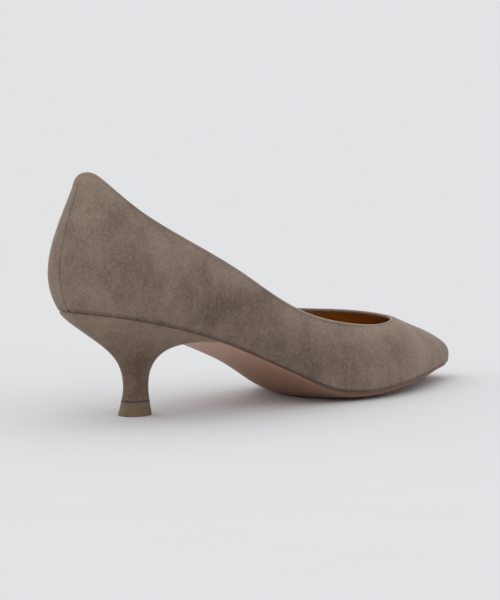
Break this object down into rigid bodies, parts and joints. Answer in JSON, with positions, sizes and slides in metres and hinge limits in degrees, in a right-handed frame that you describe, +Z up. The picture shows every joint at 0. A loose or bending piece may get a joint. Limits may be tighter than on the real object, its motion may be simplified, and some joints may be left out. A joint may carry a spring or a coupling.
{
  "type": "pump shoe",
  "caption": "Right suede pump with a softly pointed toe, low throat, slim kitten heel and flared heel tip, standing empty on its leather sole.",
  "frame": {"origin": "middle of the shoe's length and width on the floor it stands on", "axes": "+X to the toe, +Y to the inner side of the foot, +Z up"},
  "size_m": [0.2374, 0.0754, 0.1065],
  "materials": {
    "suede": "taupe suede with a short soft nap",
    "heel_suede": "taupe suede stretched over a moulded heel",
    "sock_leather": "smooth caramel leather",
    "sole_leather": "dusty pink sole leather, satin",
    "tip_rubber": "olive brown, satin"
  },
  "bodies": {
    "root": {"upper": "suede", "back_tab": "suede", "insole": "sock_leather", "outsole": "sole_leather", "heel": "heel_suede", "heel_tip": "tip_rubber"}
  },
  "joints": []
}
